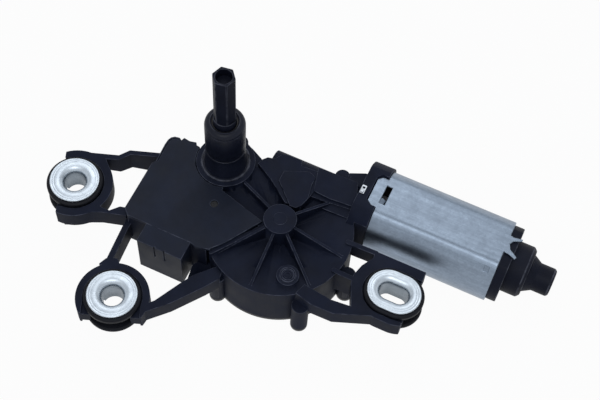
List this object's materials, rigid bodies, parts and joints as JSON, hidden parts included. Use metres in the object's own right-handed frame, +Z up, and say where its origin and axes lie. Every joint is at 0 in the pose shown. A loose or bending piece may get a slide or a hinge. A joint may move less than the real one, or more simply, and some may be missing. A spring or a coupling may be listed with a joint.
{
  "type": "rear wiper motor",
  "caption": "Rear wiper motor with worm gearbox, tall output tower with a hollow drive hexagon, rubber mounted eyes, electronics tray with connector and a flat-sided motor can.",
  "frame": {"origin": "on the output spindle axis, where the straight wall of the tower starts", "axes": "+Z up along the output spindle, +X along the motor axis from the gearbox to the motor end, +Y away from the front mounting eye"},
  "size_m": [0.243, 0.1373, 0.1065],
  "materials": {
    "black_plastic": "fine moulded grain",
    "lid_plastic": "fine moulded grain",
    "tower_plastic": "smooth moulded",
    "hex_plastic": "smooth moulded",
    "cap_plastic": "smooth moulded",
    "cover_steel": "black paint",
    "galvanised_can": "zinc coated, drawn",
    "zinc_plate": "bright zinc plate",
    "rubber": "satin rubber",
    "seal_rubber": "satin rubber",
    "plain_steel": "ground",
    "screw_steel": "zinc plated",
    "link_steel": "stamped",
    "spring_steel": "drawn",
    "bright_clip": "bright",
    "bronze": "sintered",
    "copper": "enamelled wire",
    "commutator_copper": "turned",
    "tin_brass": "tinned",
    "laminations": "stacked sheet",
    "ferrite": "sintered",
    "carbon": "pressed carbon",
    "wheel_plastic": "natural nylon",
    "washer_plastic": "natural nylon",
    "card_plastic": "brown moulded card",
    "board": "green solder mask",
    "relay_case": "moulded",
    "capacitor_can": "printed sleeve",
    "chip": "moulded"
  },
  "bodies": {
    "frame": {"gear_housing": "black_plastic", "base_cover": "cover_steel", "base_screws": "screw_steel", "electronics_lid": "lid_plastic", "lid_screw": "cover_steel", "drum_plug": "black_plastic", "connector_shroud": "lid_plastic", "connector_pins": "tin_brass", "circuit_board": "board", "relay": "relay_case", "capacitors": "capacitor_can", "suppressor_coils": "copper", "control_chip": "chip", "earth_clip": "bright_clip", "grommet_left": "rubber", "grommet_front": "rubber", "grommet_slotted": "rubber", "sleeve_left": "zinc_plate", "sleeve_front": "zinc_plate", "sleeve_slotted": "zinc_plate", "tower_sleeve": "tower_plastic", "lower_bush": "bronze", "upper_bush": "bronze", "spindle_seal": "seal_rubber", "wheel_axle": "plain_steel", "wheel_washer": "washer_plastic", "motor_can": "galvanised_can", "end_cap": "cap_plastic", "nose_bush": "bronze", "front_bush": "bronze", "rear_bush": "bronze", "thrust_pad": "washer_plastic", "brush_card": "card_plastic", "brushes": "carbon", "brush_springs": "spring_steel", "choke_coils": "ferrite", "magnet_front": "ferrite", "magnet_back": "ferrite", "magnet_clips": "spring_steel"},
    "spindle": {"output_spindle": "plain_steel", "hex_drive": "hex_plastic", "pinion": "plain_steel", "spindle_clip": "screw_steel"},
    "guide": {"guide_link": "link_steel", "pivot_pin": "plain_steel"},
    "sector": {"sector_link": "link_steel", "crank_pin": "plain_steel"},
    "wheel": {"worm_wheel": "wheel_plastic"},
    "armature": {"armature_shaft": "plain_steel", "lamination_stack": "laminations", "windings": "copper", "commutator": "commutator_copper"}
  },
  "joints": [
    {"name": "armature_spin", "type": "hinge", "parent": "frame", "child": "armature", "pos_m": [0.107, 0.016, -0.0196], "axis": [1, 0, 0], "continuous": true},
    {"name": "worm_wheel_spin", "type": "hinge", "parent": "frame", "child": "wheel", "pos_m": [0.0385, -0.0195, -0.0196], "axis": [0, 0, 1], "continuous": true},
    {"name": "spindle_swing", "type": "hinge", "parent": "frame", "child": "spindle", "pos_m": [0, 0, -0.0046], "axis": [0, 0, 1], "range_deg": [-55, 55]},
    {"name": "guide_swing", "type": "hinge", "parent": "frame", "child": "guide", "pos_m": [0, 0, -0.0266], "axis": [0, 0, 1], "range_deg": [-22.5, 22.5]},
    {"name": "sector_swing", "type": "hinge", "parent": "guide", "child": "sector", "pos_m": [0.01819, -0.0105, -0.0296], "axis": [0, 0, 1], "range_deg": [-17, 17]}
  ],
  "couplings": [
    {"joint": "worm_wheel_spin", "follows": "armature_spin", "ratio": 0.016129},
    {"joint": "guide_swing", "follows": "spindle_swing", "ratio": 0.4},
    {"joint": "sector_swing", "follows": "spindle_swing", "ratio": -0.3}
  ]
}
